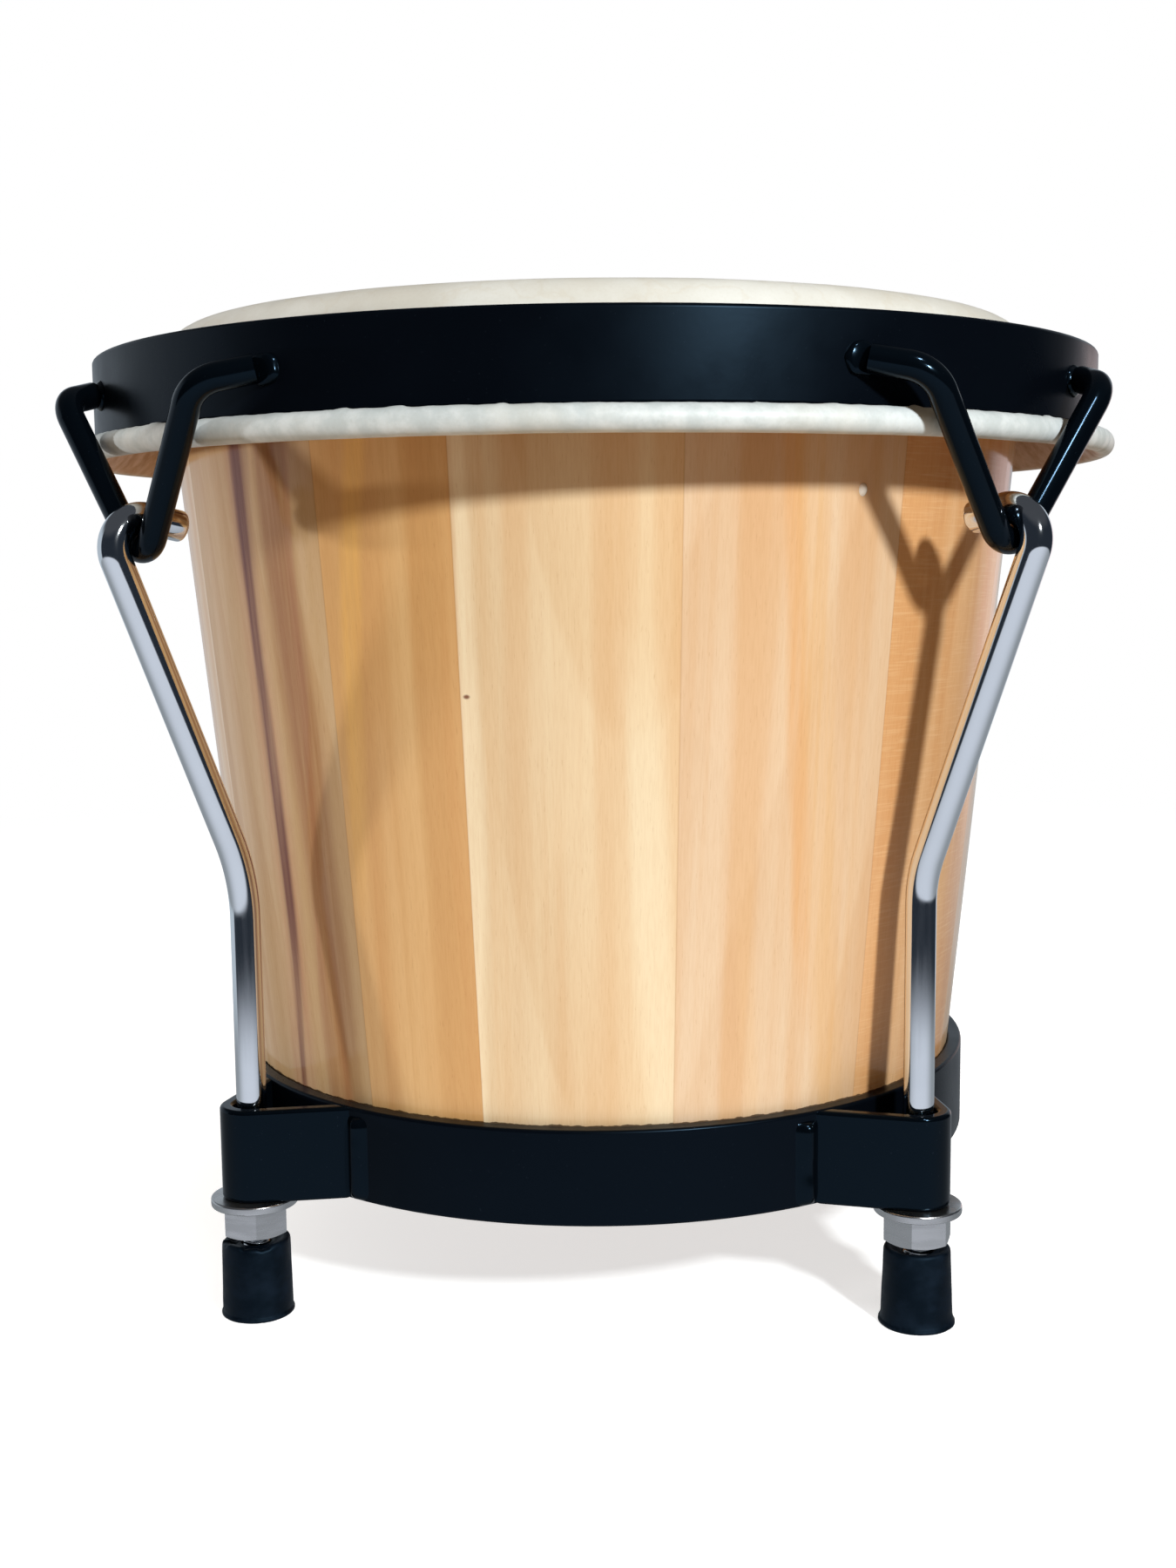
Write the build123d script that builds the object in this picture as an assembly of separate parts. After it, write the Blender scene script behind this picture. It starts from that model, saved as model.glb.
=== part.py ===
from build123d import *
from math import atan, atan2, cos, degrees, hypot, radians, sin, tan
import os

# A single wooden hand drum of the bongo kind, in millimetres.
#
# Thirteen tapered staves make a conical shell.  A skin is stretched over its top edge and wrapped
# round a flesh hoop, a steel rim presses on the hoop, and four V-shaped ears on the rim are pulled
# down by hooked tension rods.  The rods pass through loops on a steel bottom ring, where washers
# and nuts hold them, and each rod ends in a rubber foot.
#
# +Z is up.  The origin is on the drum's axis, at the bottom of the feet.  The four tension rods
# stand on the +X, +Y, -X and -Y axes.

SIDES = {"right": 0, "back": 90, "left": 180, "front": 270}   # degrees about +Z from +X

# Shell
SHELL_BOTTOM_Z = 22.9
SHELL_TOP_Z = 182.7
SHELL_BOTTOM_RADIUS = 71.3          # outside
SHELL_FLARE = 0.0976                # outside radius gained per millimetre of height
SHELL_WALL = 9.0
SHELL_BOTTOM_CHAMFER = 0.8
BEARING_EDGE_RADIUS = 6.6           # round-over under the skin
BEARING_FLAT = 0.4                  # narrow flat inside the round-over
BEARING_BEVEL = 3.0                 # height of the bevel down to the inner wall
FIRST_JOINT_ANGLE = -76.45          # glue joint between the last stave and the first
STAVE_WIDTHS = (18.3, 26.6, 29.4, 29.0, 27.0, 30.0, 28.0, 26.5, 31.0, 28.0, 29.0, 27.5, 29.7)

# Skin
SKIN_THICKNESS = 0.9
COLLAR_START_ANGLE = 22.0           # where the skin leaves the bearing edge, above horizontal
COLLAR_STOP = 1.8                   # the plain collar ends this far before the roll

# Flesh hoop and the skin rolled round it
HOOP_RADIUS = 101.1                 # to the wire's centre
HOOP_Z = 159.6
HOOP_WIRE_RADIUS = 1.6
ROLL_RADIUS = 2.35                  # outside of the skin roll, from the wire's centre

# Rim
RIM_RADIUS = 100.0
RIM_THICKNESS = 2.4
RIM_BOTTOM_Z = 161.7
RIM_HEIGHT = 15.2
RIM_EDGE_FILLET = 0.7

# Ears: a bent rod that hangs as a V from the rim
EAR_ROD_RADIUS = 2.4
EAR_APEX_RADIUS = 103.5             # lowest point of the V's centre line, from the drum's axis
EAR_APEX_Z = 140.8
EAR_APEX_BEND = 5.4
EAR_HALF_ANGLE = 38.0
EAR_SHOULDER_RADIUS = 105.7
EAR_SHOULDER_Z = 167.0
EAR_SHOULDER_BEND = 6.5
EAR_WELD_RADIUS = 97.5              # the arm's end, inside the rim's face before it is trimmed
EAR_WELD_SPREAD = 28.6
EAR_WELD_Z = 169.0

# Tension rods
ROD_RADIUS = 2.75
ROD_LINE_RADIUS = 86.0              # the rod's straight lower part, from the drum's axis
ROD_TAIL_Z = 4.0
ROD_SLANT = 21.5                    # degrees from vertical above the bend
ROD_BEND = 32.0
ROD_HOOK_BEND = 5.3
ROD_TIP_ANGLE = 191.5               # direction of the hook's tip: inward and a little down
ROD_TIP_LENGTH = 6.9
ROD_END_FILLET = 0.8

# Bottom ring and lug loops
RING_BOTTOM_Z = 22.4
RING_HEIGHT = 17.35
RING_RADIUS = 75.8
RING_EDGE_FILLET = 0.6
LUG_STRAP = 2.5
LUG_NOSE_RADIUS = 5.8
LUG_LEG_SPREAD = 14.5               # where the outside of a leg meets the ring
LUG_EDGE_FILLET = 0.7

# Washers, nuts and feet
WASHER_RADIUS = 7.95
WASHER_HOLE_RADIUS = 3.3
WASHER_THICKNESS = 1.5
WASHER_EDGE_FILLET = 0.3
NUT_ACROSS_FLATS = 11.1
NUT_HEIGHT = 5.5
NUT_BORE_RADIUS = 2.85
NUT_CHAMFER_ANGLE = 25.0
FOOT_HEIGHT = 14.2
FOOT_TOP_RADIUS = 6.0
FOOT_WAIST_RADIUS = 6.45
FOOT_BASE_RADIUS = 6.95
FOOT_LIP_HEIGHT = 0.8
FOOT_FLARE_HEIGHT = 2.6
FOOT_FLARE_RADIUS = 3.2
FOOT_TOP_CHAMFER = 0.4


def shell_radius(z):
    """Outside radius of the shell at a height."""
    return SHELL_BOTTOM_RADIUS + (z - SHELL_BOTTOM_Z) * SHELL_FLARE


def polar(centre, radius, angle):
    """Point at a radius and an angle in degrees from a centre in the half plane (r, z)."""
    return (centre[0] + radius * cos(radians(angle)), centre[1] + radius * sin(radians(angle)))


# The bearing edge is an arc between the flat top and the cone: its centre in the half plane.
CONE_ANGLE = degrees(atan(SHELL_FLARE))
BEARING_Z = SHELL_TOP_Z - BEARING_EDGE_RADIUS
BEARING_CENTRE = (shell_radius(BEARING_Z) - BEARING_EDGE_RADIUS / cos(radians(CONE_ANGLE)), BEARING_Z)


def spin(profile, arc=360.0):
    """Turn a closed outline, drawn as (r, z), about the drum's axis."""
    return revolve(Plane.XZ * make_face(profile), Axis.Z, arc)


def round_edges(solid, radius, *levels):
    """Round the edges that lie flat at the given heights."""
    edges = [e for z in levels for e in solid.edges().filter_by_position(Axis.Z, z - 0.01, z + 0.01)]
    return fillet(edges, radius)


def stave(start_angle, width):
    """One tapered stave, from its glue joint at start_angle, wide as an angle."""
    inner_bottom = SHELL_BOTTOM_RADIUS - SHELL_WALL
    bevel_z = SHELL_TOP_Z - BEARING_BEVEL
    chamfer = SHELL_BOTTOM_CHAMFER
    ridge = (BEARING_CENTRE[0] - BEARING_FLAT, SHELL_TOP_Z)
    outer_start = (shell_radius(SHELL_BOTTOM_Z + chamfer), SHELL_BOTTOM_Z + chamfer)
    side_end = polar(BEARING_CENTRE, BEARING_EDGE_RADIUS, -CONE_ANGLE)
    crown = (BEARING_CENTRE[0], SHELL_TOP_Z)
    middle = polar(BEARING_CENTRE, BEARING_EDGE_RADIUS, (90 - CONE_ANGLE) / 2)
    outline = [
        Line(outer_start, side_end),
        ThreePointArc(side_end, middle, crown),
        Polyline(
            crown,
            ridge,
            (shell_radius(bevel_z) - SHELL_WALL, bevel_z),
            (inner_bottom, SHELL_BOTTOM_Z),
            (SHELL_BOTTOM_RADIUS - chamfer, SHELL_BOTTOM_Z),
            outer_start,
        ),
    ]
    return spin(outline, width).rotate(Axis.Z, start_angle)


def playing_surface():
    """The flat middle of the skin, out to where it starts to turn over the bearing edge."""
    grow = (Align.CENTER, Align.CENTER, Align.MIN)
    return Pos(0, 0, SHELL_TOP_Z) * Cylinder(BEARING_CENTRE[0], SKIN_THICKNESS, align=grow)


def arc_strip(centre, near, far, first, last):
    """Strip between two radii about a centre in the half plane, from one angle to another."""
    middle = (first + last) / 2
    return make_face([
        ThreePointArc(*(polar(centre, far, angle) for angle in (first, middle, last))),
        Line(polar(centre, far, last), polar(centre, near, last)),
        ThreePointArc(*(polar(centre, near, angle) for angle in (last, middle, first))),
        Line(polar(centre, near, first), polar(centre, far, first)),
    ])


def skin_collar():
    """The skin over the bearing edge and down to the flesh hoop: a round-over, then one long arc."""
    skin_middle = BEARING_EDGE_RADIUS + SKIN_THICKNESS / 2
    wire_side = HOOP_WIRE_RADIUS + SKIN_THICKNESS / 2
    start = polar(BEARING_CENTRE, skin_middle, COLLAR_START_ANGLE)
    turn = 0.0
    for _ in range(20):
        # The long arc is tangent at both ends, so its chord halves the turn between them.
        end = polar((HOOP_RADIUS, HOOP_Z), wire_side, COLLAR_START_ANGLE + turn - 180)
        chord_angle = degrees(atan2(end[1] - start[1], end[0] - start[0]))
        turn = 2 * (chord_angle + 90 - COLLAR_START_ANGLE)
    bend = hypot(end[0] - start[0], end[1] - start[1]) / (2 * sin(radians(turn / 2)))
    centre = polar(start, bend, COLLAR_START_ANGLE)
    first = COLLAR_START_ANGLE + 180
    last = first + turn - degrees(COLLAR_STOP / bend)
    half = SKIN_THICKNESS / 2
    over_edge = arc_strip(BEARING_CENTRE, skin_middle - half, skin_middle + half, 90, COLLAR_START_ANGLE)
    down_to_hoop = arc_strip(centre, bend - half, bend + half, first, last)
    return revolve(Plane.XZ * (over_edge + down_to_hoop), Axis.Z)


def flesh_hoop():
    """The steel wire ring inside the rolled edge of the skin."""
    return Pos(0, 0, HOOP_Z) * Torus(HOOP_RADIUS, HOOP_WIRE_RADIUS)


def skin_roll():
    """The edge of the skin, rolled round the flesh hoop."""
    return Pos(0, 0, HOOP_Z) * Torus(HOOP_RADIUS, ROLL_RADIUS) - flesh_hoop()


def rim():
    """The flat steel band that presses on the flesh hoop."""
    bottom = Pos(0, 0, RIM_BOTTOM_Z)
    grow = (Align.CENTER, Align.CENTER, Align.MIN)
    band = bottom * Cylinder(RIM_RADIUS, RIM_HEIGHT, align=grow)
    band -= bottom * Cylinder(RIM_RADIUS - RIM_THICKNESS, RIM_HEIGHT, align=grow)
    return round_edges(band, RIM_EDGE_FILLET, RIM_BOTTOM_Z, RIM_BOTTOM_Z + RIM_HEIGHT)


def ear():
    """The V-shaped rod on the +X side of the rim, trimmed to the rim's face."""
    half = radians(EAR_HALF_ANGLE)
    vertex_drop = EAR_APEX_BEND * (1 / sin(half) - 1)
    vertex_z = EAR_APEX_Z - vertex_drop
    lean = (EAR_SHOULDER_RADIUS - EAR_APEX_RADIUS) / (EAR_SHOULDER_Z - EAR_APEX_Z)
    spread = (EAR_SHOULDER_Z - vertex_z) * tan(half)
    route = FilletPolyline(
        (EAR_WELD_RADIUS, -EAR_WELD_SPREAD, EAR_WELD_Z),
        (EAR_SHOULDER_RADIUS, -spread, EAR_SHOULDER_Z),
        (EAR_APEX_RADIUS - lean * vertex_drop, 0, vertex_z),
        (EAR_SHOULDER_RADIUS, spread, EAR_SHOULDER_Z),
        (EAR_WELD_RADIUS, EAR_WELD_SPREAD, EAR_WELD_Z),
        radius=[EAR_SHOULDER_BEND, EAR_APEX_BEND, EAR_SHOULDER_BEND],
    )
    section = Plane(origin=route @ 0, z_dir=route % 0) * Circle(EAR_ROD_RADIUS)
    rod = sweep(section, path=route)
    rim_core = Pos(0, 0, EAR_WELD_Z) * Cylinder(RIM_RADIUS, 2 * RIM_HEIGHT)
    return max((rod - rim_core).solids(), key=lambda piece: piece.volume)


def tension_rod():
    """The rod on the +X side: upright through the lug loop, then slanted out to its hook."""
    slant = radians(ROD_SLANT)
    ear_axis = (EAR_APEX_RADIUS, EAR_APEX_Z)
    hook_start = polar(ear_axis, ROD_HOOK_BEND, -ROD_SLANT)
    corner_z = hook_start[1] - (hook_start[0] - ROD_LINE_RADIUS) / tan(slant)
    hook_end = polar(ear_axis, ROD_HOOK_BEND, ROD_TIP_ANGLE - 90)
    hook_middle = polar(ear_axis, ROD_HOOK_BEND, (ROD_TIP_ANGLE - 90 - ROD_SLANT) / 2)
    shank = FilletPolyline((ROD_LINE_RADIUS, ROD_TAIL_Z), (ROD_LINE_RADIUS, corner_z), hook_start,
                           radius=ROD_BEND)
    hook = ThreePointArc(hook_start, hook_middle, hook_end)
    tip = Line(hook_end, polar(hook_end, ROD_TIP_LENGTH, ROD_TIP_ANGLE))
    route = Plane.XZ * Wire(shank.edges() + hook.edges() + tip.edges())
    section = Pos(ROD_LINE_RADIUS, 0, ROD_TAIL_Z) * Circle(ROD_RADIUS)
    rod = sweep(section, path=route)
    flat_ends = rod.faces().filter_by(GeomType.PLANE)
    return fillet(flat_ends.edges(), ROD_END_FILLET)


def bottom_ring():
    """The steel band round the shell's foot: straight outside, tapered inside to fit the shell."""
    top_z = RING_BOTTOM_Z + RING_HEIGHT
    outline = Polyline(
        (shell_radius(RING_BOTTOM_Z), RING_BOTTOM_Z),
        (RING_RADIUS, RING_BOTTOM_Z),
        (RING_RADIUS, top_z),
        (shell_radius(top_z), top_z),
        close=True,
    )
    return round_edges(spin(outline), RING_EDGE_FILLET, RING_BOTTOM_Z, top_z)


def lug_wedge(nose_radius):
    """Plan of a wedge with a round nose about the rod; its sides lie tangent to the nose."""
    meet_x = (RING_RADIUS ** 2 - LUG_LEG_SPREAD ** 2) ** 0.5
    run = hypot(ROD_LINE_RADIUS - meet_x, LUG_LEG_SPREAD)
    leg_angle = atan2(LUG_NOSE_RADIUS, (run ** 2 - LUG_NOSE_RADIUS ** 2) ** 0.5)
    leg_angle -= atan2(LUG_LEG_SPREAD, ROD_LINE_RADIUS - meet_x)
    touch = (ROD_LINE_RADIUS - sin(leg_angle) * nose_radius, cos(leg_angle) * nose_radius)
    back = (touch[0] - cos(leg_angle) * run, touch[1] - sin(leg_angle) * run)
    outline = Polyline(
        (ROD_LINE_RADIUS, 0),
        touch,
        back,
        (back[0], -back[1]),
        (touch[0], -touch[1]),
        close=True,
    )
    return make_face(outline) + Pos(ROD_LINE_RADIUS, 0) * Circle(nose_radius)


def lug_loop():
    """The bent strap on the +X side of the ring: leg, round nose, leg, welded to the ring."""
    strap = lug_wedge(LUG_NOSE_RADIUS) - lug_wedge(LUG_NOSE_RADIUS - LUG_STRAP) - Circle(RING_RADIUS)
    body = extrude(Pos(0, 0, RING_BOTTOM_Z) * strap, RING_HEIGHT)
    return round_edges(body, LUG_EDGE_FILLET, RING_BOTTOM_Z, RING_BOTTOM_Z + RING_HEIGHT)


def washer():
    """The flat washer under the +X lug loop."""
    top = Pos(ROD_LINE_RADIUS, 0, RING_BOTTOM_Z)
    drop = (Align.CENTER, Align.CENTER, Align.MAX)
    disc = top * Cylinder(WASHER_RADIUS, WASHER_THICKNESS, align=drop)
    disc -= top * Cylinder(WASHER_HOLE_RADIUS, WASHER_THICKNESS, align=drop)
    return round_edges(disc, WASHER_EDGE_FILLET, RING_BOTTOM_Z, RING_BOTTOM_Z - WASHER_THICKNESS)


def nut():
    """The hexagon nut on the +X rod, its corners chamfered at both ends."""
    corner = NUT_ACROSS_FLATS / 2 / cos(radians(30))
    flat = NUT_ACROSS_FLATS / 2
    drop = (corner - flat + 0.1) * tan(radians(NUT_CHAMFER_ANGLE))
    cone = Polyline(
        (NUT_BORE_RADIUS, 0),
        (flat - 0.1, 0),
        (corner, drop),
        (corner, NUT_HEIGHT - drop),
        (flat - 0.1, NUT_HEIGHT),
        (NUT_BORE_RADIUS, NUT_HEIGHT),
        close=True,
    )
    prism = extrude(RegularPolygon(corner, 6), NUT_HEIGHT)
    bottom_z = RING_BOTTOM_Z - WASHER_THICKNESS - NUT_HEIGHT
    return Pos(ROD_LINE_RADIUS, 0, bottom_z) * (spin(cone) & prism)


def foot():
    """The rubber cap on the +X rod's lower end: a slight taper that flares to a thin lip."""
    lip = (FOOT_BASE_RADIUS, FOOT_LIP_HEIGHT)
    waist = (FOOT_WAIST_RADIUS, FOOT_FLARE_HEIGHT)
    sides = Polyline(
        waist,
        (FOOT_TOP_RADIUS, FOOT_HEIGHT - FOOT_TOP_CHAMFER),
        (FOOT_TOP_RADIUS - FOOT_TOP_CHAMFER, FOOT_HEIGHT),
        (ROD_RADIUS, FOOT_HEIGHT),
        (ROD_RADIUS, ROD_TAIL_Z),
        (0, ROD_TAIL_Z),
        (0, 0),
        (FOOT_BASE_RADIUS, 0),
        lip,
    )
    flare = RadiusArc(lip, waist, FOOT_FLARE_RADIUS)
    return Pos(ROD_LINE_RADIUS, 0, 0) * spin([sides, flare])


def save(name, shape):
    export_step(shape, f"parts/{name}.step")


os.makedirs("parts", exist_ok=True)

joint_angle = FIRST_JOINT_ANGLE
for number, width in enumerate(STAVE_WIDTHS, 1):
    save(f"stave_{number:02d}", stave(joint_angle, width))
    joint_angle += width

save("skin_playing_surface", playing_surface())
save("skin_collar", skin_collar())
save("skin_roll", skin_roll())
save("flesh_hoop", flesh_hoop())
save("rim", rim())
save("bottom_ring", bottom_ring())

for side, angle in SIDES.items():
    for name, piece in (
        ("rim_ear", ear()),
        ("tension_rod", tension_rod()),
        ("lug_loop", lug_loop()),
        ("washer", washer()),
        ("tuning_nut", nut()),
        ("rubber_foot", foot()),
    ):
        save(f"{name}_{side}", piece.rotate(Axis.Z, angle))
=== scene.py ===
import math
import random

import bmesh
import bpy
from mathutils import Matrix, Vector, noise


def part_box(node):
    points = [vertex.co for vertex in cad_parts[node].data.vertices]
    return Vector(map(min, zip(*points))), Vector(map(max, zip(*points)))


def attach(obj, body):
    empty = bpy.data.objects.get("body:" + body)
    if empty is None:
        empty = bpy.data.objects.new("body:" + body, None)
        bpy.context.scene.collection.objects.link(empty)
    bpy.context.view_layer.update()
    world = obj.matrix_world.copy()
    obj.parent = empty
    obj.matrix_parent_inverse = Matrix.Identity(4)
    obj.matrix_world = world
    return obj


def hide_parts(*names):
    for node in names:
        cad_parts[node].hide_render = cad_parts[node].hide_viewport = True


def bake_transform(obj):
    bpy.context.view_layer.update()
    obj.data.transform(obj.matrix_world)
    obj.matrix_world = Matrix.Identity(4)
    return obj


# The looks of a wooden hand drum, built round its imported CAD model.  Lengths in this script are in
# millimetres until a mesh or a light is made, because the parts are small.  The drum stands on z = 0
# with its axis on Z, and its four rods stand on +X, +Y, -X and -Y.

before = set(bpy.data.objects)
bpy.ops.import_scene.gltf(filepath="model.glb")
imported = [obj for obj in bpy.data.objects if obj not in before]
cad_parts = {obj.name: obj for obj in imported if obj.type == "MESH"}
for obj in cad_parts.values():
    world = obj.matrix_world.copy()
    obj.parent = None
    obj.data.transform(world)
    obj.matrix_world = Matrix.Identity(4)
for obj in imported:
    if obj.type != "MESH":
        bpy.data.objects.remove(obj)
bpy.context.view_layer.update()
scene = bpy.context.scene

MM = 0.001
SIDES = {"right": 0, "back": 90, "left": 180, "front": 270}   # degrees about +Z from +X
TURN = 2 * math.pi


def extent(node):
    """Lowest and highest corner of a CAD node, in millimetres."""
    low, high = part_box(node)
    return low / MM, high / MM


# ---------------- sizes read from the frame

low, high = extent("skin_playing_surface")
skin_flat_radius = high.x
skin_top_z = high.z
shell_top_z = low.z
skin_thickness = skin_top_z - shell_top_z

low, high = extent("flesh_hoop")
wire_radius = (high.z - low.z) / 2
hoop_radius = high.x - wire_radius
hoop_z = high.z - wire_radius
roll_radius = extent("skin_roll")[1].x - hoop_radius
rim_radius = extent("rim")[1].x

low, high = extent("bottom_ring")
ring_radius = high.x
ring_bottom_z = low.z
ring_top_z = high.z

low, high = extent("washer_right")
rod_line_radius = (low.x + high.x) / 2
low, high = extent("tension_rod_right")
rod_radius = (high.y - low.y) / 2
rod_tail_z = low.z
low, high = extent("rubber_foot_right")
foot_height = high.z
foot_base_radius = (high.y - low.y) / 2

# Sizes that a box doesn't give.  They are the CAD model's own.
SHELL_BOTTOM_Z = 22.9
SHELL_BOTTOM_RADIUS = 71.3
SHELL_FLARE = 0.0976         # outside radius gained per millimetre of height
WALL_MIDDLE_RADIUS = 64.5    # halfway through the wall, carried down to z = 0
BEARING_EDGE_RADIUS = 6.6
COLLAR_START_ANGLE = 22.0
EAR_APEX_RADIUS = 103.5
EAR_APEX_Z = 140.8
EAR_APEX_BEND = 5.4
EAR_HALF_ANGLE = math.radians(38.0)
EAR_SHOULDER_RADIUS = 105.7
EAR_SHOULDER_Z = 167.0
EAR_WELD_RADIUS = 97.5
EAR_WELD_SPREAD = 28.6
EAR_WELD_Z = 169.0
ROD_SLANT = 21.5
ROD_HOOK_BEND = 5.3
ROD_TIP_ANGLE = 191.5
ROD_TIP_LENGTH = 6.9
ROD_END_ROUNDING = 0.8
LUG_LEG_SPREAD = 14.5
FOOT_TOP_RADIUS = 6.0
FOOT_WAIST_RADIUS = 6.45
FOOT_WAIST_Z = 2.6
FOOT_LIP_Z = 0.8


# ---------------- mesh helpers


def grid_faces(rows, columns, wrap_rows, wrap_columns):
    """Faces of a grid of points numbered row by row."""
    faces = []
    for row in range(rows if wrap_rows else rows - 1):
        for column in range(columns if wrap_columns else columns - 1):
            next_row = (row + 1) % rows
            next_column = (column + 1) % columns
            faces.append((
                row * columns + column,
                row * columns + next_column,
                next_row * columns + next_column,
                next_row * columns + column,
            ))
    return faces


def make_piece(name, points, faces, material):
    """A smooth mesh object from points in millimetres, with its faces turned outwards."""
    mesh = bpy.data.meshes.new(name)
    mesh.from_pydata([Vector(point) * MM for point in points], [], faces)
    work = bmesh.new()
    work.from_mesh(mesh)
    bmesh.ops.recalc_face_normals(work, faces=work.faces)
    for face in work.faces:
        face.smooth = True
    work.to_mesh(mesh)
    work.free()
    mesh.materials.append(material)
    piece = bpy.data.objects.new(name, mesh)
    scene.collection.objects.link(piece)
    return piece


def capped_tube(rings):
    """Points and faces of closed rings joined in a row, with both ends filled."""
    columns = len(rings[0])
    points = [point for ring in rings for point in ring]
    faces = grid_faces(len(rings), columns, False, True)
    for ring_start in (0, len(points) - columns):
        ring = points[ring_start:ring_start + columns]
        points.append(sum((Vector(point) for point in ring), Vector()) / columns)
        centre = len(points) - 1
        faces += [
            (ring_start + column, ring_start + (column + 1) % columns, centre)
            for column in range(columns)
        ]
    return points, faces


def around(radius, angle, height):
    """Point at a radius and an angle, in radians, about Z."""
    return Vector((radius * math.cos(angle), radius * math.sin(angle), height))


def lathe(profile, columns, move):
    """Rings of a profile of (radius, height) turned about Z; move shifts each point."""
    rings = []
    for radius, height in profile:
        ring = []
        for column in range(columns):
            angle = TURN * column / columns
            ring.append(move(around(radius, angle, height), angle))
        rings.append(ring)
    return rings


def polar(centre, radius, degrees):
    """Point in the half plane (r, z) at a radius and an angle from a centre."""
    angle = math.radians(degrees)
    return (centre[0] + radius * math.cos(angle), centre[1] + radius * math.sin(angle))


def ease(value):
    """Smooth step from 0 to 1."""
    value = min(max(value, 0.0), 1.0)
    return value * value * (3 - 2 * value)


def spread(start, end, count):
    """Evenly spaced values, both ends included."""
    return [start + (end - start) * step / (count - 1) for step in range(count)]


def wobble(angle, lumps, height=0.0, seed=0.0):
    """Smooth noise that closes on itself round the drum; lumps is how many fit, roughly."""
    return noise.noise(around(lumps / TURN, angle, height + seed))


def turned(points, degrees):
    """The points turned about the drum's axis."""
    spin = Matrix.Rotation(math.radians(degrees), 3, "Z")
    return [spin @ Vector(point) for point in points]


# ---------------- material helpers


def tone(red, green, blue):
    """A display colour, 0 to 255, as linear values."""
    def linear(value):
        value /= 255
        return value / 12.92 if value <= 0.04045 else ((value + 0.055) / 1.055) ** 2.4
    return (linear(red), linear(green), linear(blue))


class NodeMaker:
    """Adds nodes to a shader tree.  An input may be a number, a tuple or another node's output."""

    def __init__(self, tree):
        self.tree = tree

    def plug(self, socket, value):
        if isinstance(value, bpy.types.NodeSocket):
            self.tree.links.new(value, socket)
        elif socket.type == "RGBA":
            socket.default_value = (*value, 1.0)
        else:
            socket.default_value = value

    def node(self, kind, inputs=None, **settings):
        node = self.tree.nodes.new(kind)
        for key, value in settings.items():
            setattr(node, key, value)
        for key, value in (inputs or {}).items():
            self.plug(node.inputs[key], value)
        return node

    def math(self, operation, *values):
        return self.node("ShaderNodeMath", dict(enumerate(values)), operation=operation).outputs[0]

    def times(self, first, second):
        return self.math("MULTIPLY", first, second)

    def vector_math(self, operation, *vectors):
        return self.node("ShaderNodeVectorMath", dict(enumerate(vectors)), operation=operation).outputs

    def combine(self, x, y, z=0.0):
        return self.node("ShaderNodeCombineXYZ", {0: x, 1: y, 2: z}).outputs[0]

    def length(self, vector):
        return self.vector_math("LENGTH", vector)["Value"]

    def step(self, value, start, end, low=0.0, high=1.0):
        """Smooth change from low to high as value goes from start to end."""
        return self.node("ShaderNodeMapRange", {
            "Value": value,
            "From Min": start,
            "From Max": end,
            "To Min": low,
            "To Max": high,
        }, interpolation_type="SMOOTHSTEP").outputs["Result"]

    def mix(self, factor, first, second, blend="MIX"):
        inputs = {0: factor, 6: first, 7: second}
        return self.node("ShaderNodeMix", inputs, data_type="RGBA", blend_type=blend).outputs[2]


class Material(NodeMaker):
    """One procedural material, laid out in millimetres on its object."""

    def __init__(self, name, **surface):
        self.data = bpy.data.materials.new(name)
        self.data.use_nodes = True
        super().__init__(self.data.node_tree)
        self.surface(**surface)
        place = self.node("ShaderNodeTexCoord").outputs["Object"]
        self.place = self.vector_math("MULTIPLY", place, (1 / MM, 1 / MM, 1 / MM))[0]

    def surface(self, **values):
        """Set shader inputs; coat_roughness stands for the input Coat Roughness."""
        shader = self.tree.nodes["Principled BSDF"]
        for key, value in values.items():
            self.plug(shader.inputs[key.replace("_", " ").title().replace("Ior", "IOR")], value)

    def scaled(self, scale, turn=0.0, shift=(0, 0, 0)):
        """The place turned about Z, shifted, and scaled along each axis or evenly."""
        if not isinstance(scale, tuple):
            scale = (scale, scale, scale)
        turned_place = self.node("ShaderNodeMapping", {
            "Vector": self.place,
            "Rotation": (0, 0, turn),
            "Location": shift,
        }).outputs[0]
        return self.vector_math("MULTIPLY", turned_place, scale)[0]

    def noise(self, vector, detail=2.0, rough=0.5):
        return self.node("ShaderNodeTexNoise", {
            "Vector": vector,
            "Scale": 1.0,
            "Detail": detail,
            "Roughness": rough,
        }).outputs["Fac"]

    def bump(self, height, distance, strength=1.0):
        """Normal from a height field; distance is the relief in millimetres."""
        return self.node("ShaderNodeBump", {
            "Height": height,
            "Distance": distance * MM,
            "Strength": strength,
        }).outputs["Normal"]


SEAM_GAP = 0.001 * MM        # points nearer than this are one point


def dress(node, material):
    """Give a CAD node its material."""
    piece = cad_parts[node]
    if not piece.material_slots:
        piece.data.materials.append(None)
    for material_slot in piece.material_slots:
        material_slot.material = material


def smooth_seam(piece):
    """Even shading across the line where a CAD band's face starts and ends."""
    piece.modifiers.new("join_seam", "WELD").merge_threshold = SEAM_GAP
    piece.modifiers.new("even_shading", "WEIGHTED_NORMAL")


# ---------------- wood

STREAK_LEVEL = 100.0        # the height at which a streak's place across its stave is given
STREAK_FADE = 18.0          # half the length over which a streak's ends fade
STREAK_TOP_Z = 240.0        # well above the shell: a streak up to here doesn't fade at the top
GRAIN_WANDER = 7.0          # how far the grain strays sideways in all
GLUE_LINE_RADIUS = 80.0     # turns an angle on the shell into millimetres
KNOT_SQUASH = 1.5           # how much wider than tall a knot is

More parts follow.
